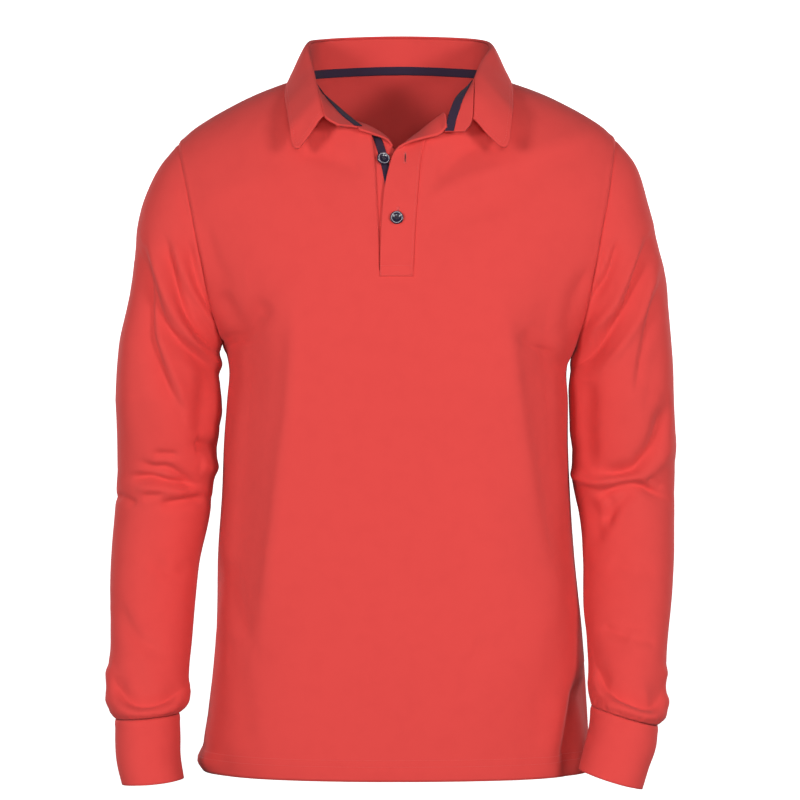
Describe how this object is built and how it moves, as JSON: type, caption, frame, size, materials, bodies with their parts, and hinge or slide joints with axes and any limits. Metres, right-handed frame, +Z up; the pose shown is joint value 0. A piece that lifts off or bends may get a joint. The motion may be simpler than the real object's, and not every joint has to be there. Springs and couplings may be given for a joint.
{
  "type": "long-sleeved polo shirt",
  "caption": "Long-sleeved jersey polo shirt in worn shape, hollow, with an open buttoned placket, a turned-down collar, deep cuffs and a plain hem.",
  "frame": {"origin": "centre of the neck, level with the sides of the neckline, where the wearer's neck and shoulders carry the shirt", "axes": "+Z up towards the collar, -Y out of the front, +X towards the wearer's left"},
  "size_m": [0.5661, 0.2597, 0.7497],
  "materials": {
    "red_jersey": "matte fine cotton jersey",
    "red_trim": "matte two-ply cotton jersey with topstitching",
    "navy_tape": "matte woven tape",
    "navy_button": "gloss, with a pale rim"
  },
  "bodies": {
    "root": {"front": "red_jersey", "back": "red_jersey", "sleeve_right": "red_jersey", "sleeve_left": "red_jersey", "cuff_right": "red_trim", "cuff_left": "red_trim", "collar_stand": "red_trim", "collar_leaf": "red_trim", "placket_top": "red_trim", "placket_under": "red_trim", "tape_neck": "navy_tape", "tape_placket": "navy_tape", "button_1": "navy_button", "button_2": "navy_button", "button_stand": "navy_button"}
  },
  "joints": []
}
